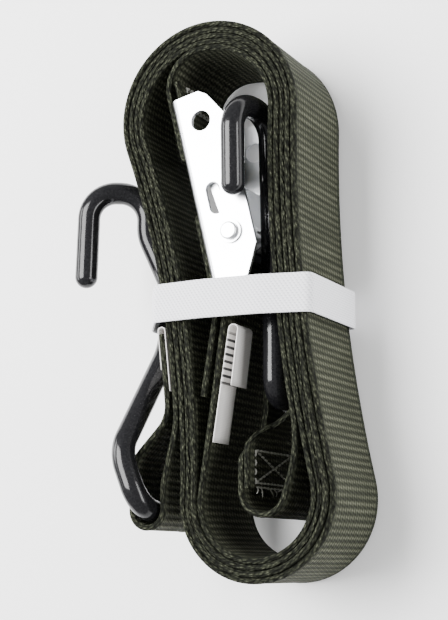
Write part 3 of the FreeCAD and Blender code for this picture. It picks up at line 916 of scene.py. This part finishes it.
@dataclass
class Trim:
    """The folded labels and the elastic band."""

    layout: Layout
    place: Place
    wardrobe: Wardrobe
    label_section: Section = Section(11.0, 0.35, 0.35, arc=3)
    band_section: Section = Section(
        12.0, 0.8, 0.7, stations=(0.04, 0.12, 0.22, 0.32, 0.42, 0.5, 0.58, 0.68, 0.78, 0.88, 0.96)
    )
    label_inset: float = 0.5
    fold_share: float = 0.95
    print_run: Point = (17.5, 34.0)
    band_ease: float = 0.25
    waist_shank: float = -28.3
    skin_gap: float = 0.3

    def build(self) -> None:
        """Build the labels and the band."""
        self.labels()
        self.band()

    def label(self, name: str, points: list[Point], printed: tuple[float, float], node: str) -> None:
        """Make one folded label from its four corners."""
        turn = (points[2][0] - points[1][0]) / 2 * self.fold_share
        base = self.layout.web_width - self.label_inset - self.label_section.width
        line = Line.of(rounded(points, [turn, turn]))
        tape = Tape(name, line, self.label_section, self.place, base=base, printed=printed)
        piece = tape.build(self.wardrobe.get(Finish.LABEL))
        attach(piece, "bundle")
        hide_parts(node)

    def labels(self) -> None:
        """The label on the hook end's lap and the one in the coil's middle."""
        lay = self.layout
        first = lay.long_route()[0]
        t = unit(first.start, first.end)
        half = lay.web_thick / 2 + 0.15 + self.label_section.thick / 2

        def beside(down: float, across: float) -> Point:
            return (
                first.start[0] + t[0] * down + t[1] * across,
                first.start[1] + t[1] * down - t[0] * across,
            )

        corners = [beside(11.0, half), beside(-2.2, half), beside(-2.2, -half), beside(18.0, -half)]
        self.label("side_label", corners, (0.0, 0.0), "label_left")
        x, y = lay.buckle(-6.0, lay.inner_leg)
        fold = y - 6.2
        corners = [(x - 4.6, -38.0), (x + 0.8, fold), (x + 3.8, fold), (x + 1.4, -21.0)]
        self.label("middle_label", corners, self.print_run, "label_centre")

    def band(self) -> None:
        """The elastic ring about the waist."""
        lay = self.layout
        near = lay.web_width + lay.side_play + lay.sheet
        far = -lay.side_play - lay.sheet
        half = self.band_section.width / 2
        right = lay.side_at(lay.band_centre - half, 1.0) + 1.0
        left = lay.side_at(lay.band_centre + half, -1.0) - 0.3
        shank = self.waist_shank - lay.coat_radius
        mid = lay.web_width / 2
        corners = [
            (right, 0.5),
            (right, lay.web_width - 0.5),
            (12.0, near),
            (-6.0, near),
            (left, lay.web_width),
            (shank + 1.0, mid + 5.0),
            (shank, mid + 2.5),
            (shank, mid - 2.5),
            (shank + 1.0, mid - 5.0),
            (left, 0.0),
            (-6.0, far),
            (12.0, far),
        ]
        thick = self.band_section.thick
        radii = [2.5, 2.5, 25.0, 25.0, 2.0, 6.0, 3.0, 3.0, 6.0, 2.0, 25.0, 25.0]
        route = self.around(corners, self.skin_gap + thick / 2 + self.band_ease, radii)
        tape = Tape("band", Line.of(route, closed=True), self.band_section, self.place, standing=False)
        tape.base = lay.band_centre - half
        piece = tape.build(self.wardrobe.get(Finish.ELASTIC))
        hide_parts("wrap_band")
        edge = self.place.point(-8.0, lay.band_centre, mid)
        side = self.place.point(left, lay.band_centre, mid)
        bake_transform(piece)

    def around(self, corners: list[Point], gap: float, radii: list[float]) -> Route:
        """A closed route that passes outside the corners at a gap.

        Args:
            corners: the convex outline that the route goes round.
            gap: distance kept from its sides.
            radii: the bend at each corner.

        Returns:
            The route, which starts and ends in the middle of its first side.
        """
        outs: list[Point] = []
        for i, corner in enumerate(corners):
            t0, t1 = unit(corners[i - 1], corner), unit(corner, corners[(i + 1) % len(corners)])
            share = gap / (1 + t0[0] * t1[0] + t0[1] * t1[1])
            outs.append((corner[0] + (t0[1] + t1[1]) * share, corner[1] - (t0[0] + t1[0]) * share))
        start = Run(outs[0], outs[1]).at(0.5)
        return rounded([start, *outs[1:], outs[0], start], [*radii[1:], radii[0]])


@dataclass
class Seams:
    """Sewing: boxes with crosses, double rows, and a few frayed ends."""

    layout: Layout
    place: Place
    wardrobe: Wardrobe
    stitch: float = 1.7
    gap: float = 0.8
    thread: float = 0.34
    low: float = 5.0
    high: float = 33.0

    def build(self) -> None:
        """Sew each overlap."""
        lay = self.layout
        short = lay.short_route()
        bends = [piece for piece in short if isinstance(piece, Bend)]
        ply_x = min(bend.end[0] for bend in bends if bend.radius == lay.short_foot_radius)
        face = ply_x + lay.web_thick + 0.1 + lay.web_thick / 2
        self.patch("eye_seam", (face, -40.5), (face, -51.5), 1.0, "eye_stitches", frayed=True)
        first = lay.long_route()[0]
        ends = self.beside(first.start, first.end, 12.5, 20.0)
        self.patch("hook_end_seam", *ends, -1.0, "hook_end_stitches")
        top, edge = lay.buckle_length + 6.0, lay.inner_leg + lay.web_thick / 2
        ends = lay.buckle(top, edge), lay.buckle(top - 8.0, edge)
        self.patch("buckle_end_seam", *ends, 1.0, "buckle_end_stitches")
        tail = lay.long_route()[-1]
        t = unit(tail.end, tail.start)
        half = lay.web_thick / 2
        x, y = tail.end[0] - t[1] * half, tail.end[1] + t[0] * half
        spots = [(x + t[0] * up, y + t[1] * up) for up in (11.0, 3.0)]
        self.patch("tail_seam", spots[0], spots[1], -1.0, "tail_stitches")

    def beside(self, start: Point, end: Point, near: float, far: float) -> tuple[Point, Point]:
        """Two points on the outer face of the hook end's lap, at lengths down from its top."""
        t = unit(start, end)
        face = self.layout.web_thick / 2
        x, y = start[0] + t[1] * face, start[1] - t[0] * face
        spots = [(x + t[0] * down, y + t[1] * down) for down in (near, far)]
        return spots[0], spots[1]

    def patch(self, name: str, p: Point, q: Point, side: float, node: str, frayed: bool = False) -> None:
        """Sew a box with a cross and double end rows on a strap's face.

        Args:
            name: the piece's name.
            p: where the patch starts in plan.
            q: where it ends in plan.
            side: +1 where the face is to the left of travel, -1 to the right.
            node: the model's solid that the seam stands for.
            frayed: whether loose ends hang from its last row.
        """
        run = math.dist(p, q)
        t = unit(p, q)
        out = Vector((-t[1] * side, t[0] * side, 0.0))

        def on_face(u: float, z: float, proud: float) -> Vector:
            spot = self.place.point(p[0] + t[0] * u, p[1] + t[1] * u, z)
            return spot + out * (proud * MM)

        low, high = self.low, self.high
        rows = [
            ((0.0, low), (0.0, high)),
            ((run, low), (run, high)),
            ((run * 0.88, low), (run * 0.88, high)),
            ((0.0, low), (run, low)),
            ((0.0, high), (run, high)),
            ((0.0, low), (run * 0.88, high)),
            ((0.0, high), (run * 0.88, low)),
        ]
        bm = bmesh.new()
        for a, b in rows:
            length = math.dist(a, b)
            count = max(1, round(length / (self.stitch + self.gap)))
            share = self.stitch / (self.stitch + self.gap)
            for k in range(count):
                path = []
                for step in (0.0, 0.15, 0.5, 0.85, 1.0):
                    part = (k + step * share) / count
                    proud = self.thread * (1.1 * math.sin(math.pi * step) - 0.25)
                    path.append(on_face(a[0] + (b[0] - a[0]) * part, a[1] + (b[1] - a[1]) * part, proud))
                size = self.thread * MM
                sweep_tube(bm, path, [size * 0.4, size * 0.9, size, size * 0.9, size * 0.4], 8)
        if frayed:
            for k in range(7):
                z = high - 1.0 - k * 3.1
                reach = 2.2 + 1.6 * math.sin(k * 2.3)
                path = []
                for s in (0.0, 0.25, 0.5, 0.75, 1.0):
                    level, lift = z + math.sin(k + s * 2.0) * s * 1.6, 0.1 + 0.8 * math.sin(s * 2.4)
                    path.append(on_face(run + s * reach * 0.9, level, lift))
                size = self.thread * MM * 0.55
                sweep_tube(bm, path, [size, size, size, size * 0.8, size * 0.5], 6)
        bmesh.ops.recalc_face_normals(bm, faces=bm.faces)
        piece = make_object(name, bm, self.wardrobe.get(Finish.THREAD))
        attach(piece, "bundle")
        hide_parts(node)


@dataclass
class Hardware:
    """The buckle, cam, pin, spring and hooks."""

    layout: Layout
    place: Place
    wardrobe: Wardrobe
    pin_up: float = 14.7
    pin_across: float = 10.3
    coil_radius: float = 2.65
    wire: float = 0.42
    turns: int = 6
    spring_width: float = 7.0

    def build(self) -> None:
        """Finish the steel parts and wind the spring."""
        plated = {
            Finish.ZINC: ["buckle_frame", "cam_lever", "cam_washer_far", "cam_washer_near"],
            Finish.PIN: ["cam_pin"],
            Finish.VINYL: ["hook_left_coating", "hook_centre_coating"],
            Finish.SPRING: ["hook_left_core", "hook_centre_core"],
        }
        for finish, names in plated.items():
            for name in names:
                self.dress(name, finish)
        self.spring()

    def dress(self, name: str, finish: Finish) -> None:
        """Give a solid of the model its finish."""
        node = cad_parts[name]
        material = self.wardrobe.get(finish)
        if not node.material_slots:
            node.data.materials.append(material)
        for material_slot in node.material_slots:
            material_slot.material = material
        LOG.info("%s: %s", name, finish.name.lower())

    def spring(self) -> None:
        """The torsion spring round the pin, a plain helix with no legs."""
        lay = self.layout
        x, y = lay.buckle(self.pin_up, self.pin_across)
        half = self.spring_width / 2 - self.wire
        mid = lay.web_width / 2
        steps = self.turns * 24
        stations = []
        for k in range(steps + 1):
            a = lay.buckle_lean + math.pi / 2 + 2 * math.pi * self.turns * k / steps
            p = polar((x, y), self.coil_radius, a)
            stations.append((p[0], p[1], mid - half + 2 * half * k / steps))
        path = [self.place.point(*p) for p in stations]
        bm = bmesh.new()
        sweep_tube(bm, path, [self.wire * MM] * len(path), 10)
        bmesh.ops.recalc_face_normals(bm, faces=bm.faces)
        piece = make_object("torsion_spring", bm, self.wardrobe.get(Finish.SPRING))
        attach(piece, "bundle")
        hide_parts("cam_spring")


# ---------------------------------------------------------------- studio
@dataclass
class Studio:
    """The pale floor, soft lights and the camera."""

    place: Place
    aim: tuple[float, float, float] = (0.0, 2.0, 38.0)
    distance: float = 456.0
    tilt: float = math.radians(27.0)
    lean: tuple[float, float] = (0.93, -0.37)
    focal_length: float = 120.5357142857143
    sensor: float = 36.0
    floor_drop: float = 0.0003
    floor_glow: float = 0.12
    world_power: float = 0.55

    def build(self) -> None:
        """Set the stage."""
        self.floor()
        self.world()
        self.light("key", toward=(-0.42, 0.17, 0.89), away=0.75, size=(0.50, 0.60), power=21.0)
        self.light("side", toward=(0.93, 0.02, 0.34), away=0.60, size=(0.16, 0.55), power=3.6)
        self.light("edge", toward=(-0.90, 0.10, 0.42), away=0.60, size=(0.14, 0.50), power=2.5)
        self.camera()

    def floor(self) -> None:
        """A wide pale floor just under the bundle."""
        bm = bmesh.new()
        bmesh.ops.create_grid(bm, x_segments=12, y_segments=12, size=2.0)
        for v in bm.verts:
            v.co.z = -self.floor_drop
        n = Nodes("pale_floor")
        tone = n.ramp(n.noise(6.0), [(0.2, (0.95, 0.95, 0.95)), (0.8, (0.98, 0.98, 0.98))])
        n.link(tone, n.shader.inputs["Base Color"])
        n.shader.inputs["Roughness"].default_value = 0.9
        n.shader.inputs["Emission Color"].default_value = (1.0, 1.0, 1.0, 1.0)
        n.shader.inputs["Emission Strength"].default_value = self.floor_glow
        make_object("studio_floor", bm, n.material)

    def world(self) -> None:
        """Even white light from all round."""
        world = bpy.data.worlds.new("studio")
        bpy.context.scene.world = world
        world.use_nodes = True
        background = world.node_tree.nodes["Background"]
        background.inputs[0].default_value = (1.0, 1.0, 1.0, 1.0)
        background.inputs[1].default_value = self.world_power

    def light(
        self, name: str, toward: tuple[float, float, float], away: float, size: Point, power: float
    ) -> None:
        """Hang one soft box.

        Args:
            name: the light's name.
            toward: direction from the bundle to the light.
            away: distance in metres.
            size: the box's width and height in metres.
            power: its power in watts.
        """
        lamp = bpy.data.lights.new(name, "AREA")
        lamp.shape = "RECTANGLE"
        lamp.size, lamp.size_y = size
        lamp.energy = power
        holder = bpy.data.objects.new(name, lamp)
        back = Vector(toward).normalized()
        side = Vector((0, 1, 0)).cross(back).normalized()
        basis = Matrix((side, back.cross(side), back)).transposed()
        holder.matrix_world = Matrix.Translation(back * away) @ basis.to_4x4()
        bpy.context.scene.collection.objects.link(holder)

    def camera(self) -> None:
        """Look down on the bundle from its right, a little below its middle."""
        lens = bpy.data.cameras.new("camera")
        lens.sensor_fit = "HORIZONTAL"
        lens.sensor_width = self.sensor
        lens.lens = self.focal_length
        lens.clip_start, lens.clip_end = 0.01, 10.0
        x, y = (math.sin(self.tilt) * part for part in self.lean)
        back = Vector((x, y, math.sqrt(1 - x * x - y * y)))
        side = Vector((0, 1, 0)).cross(back).normalized()
        basis = Matrix((side, back.cross(side), back)).transposed()
        holder = bpy.data.objects.new("camera", lens)
        aim = self.place.point(*self.aim)
        holder.matrix_world = Matrix.Translation(aim + back * (self.distance * MM)) @ basis.to_4x4()
        bpy.context.scene.collection.objects.link(holder)
        bpy.context.scene.camera = holder


def main() -> None:
    """Build the tie-down in order: straps, trim, seams, hardware and studio."""
    logging.basicConfig(level=logging.INFO, format="%(name)s: %(message)s")
    layout = Layout()
    low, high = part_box("long_strap")
    place = Place(
        high.x / MM - layout.bottom_end[0] - layout.bottom_radius,
        low.y / MM - layout.bottom_end[1] + layout.bottom_radius,
        low.z / MM,
    )
    wardrobe = Wardrobe()
    Straps(layout, place, wardrobe).build()
    Trim(layout, place, wardrobe).build()
    Seams(layout, place, wardrobe).build()
    Hardware(layout, place, wardrobe).build()
    Studio(place).build()


if __name__ == "__main__":
    main()
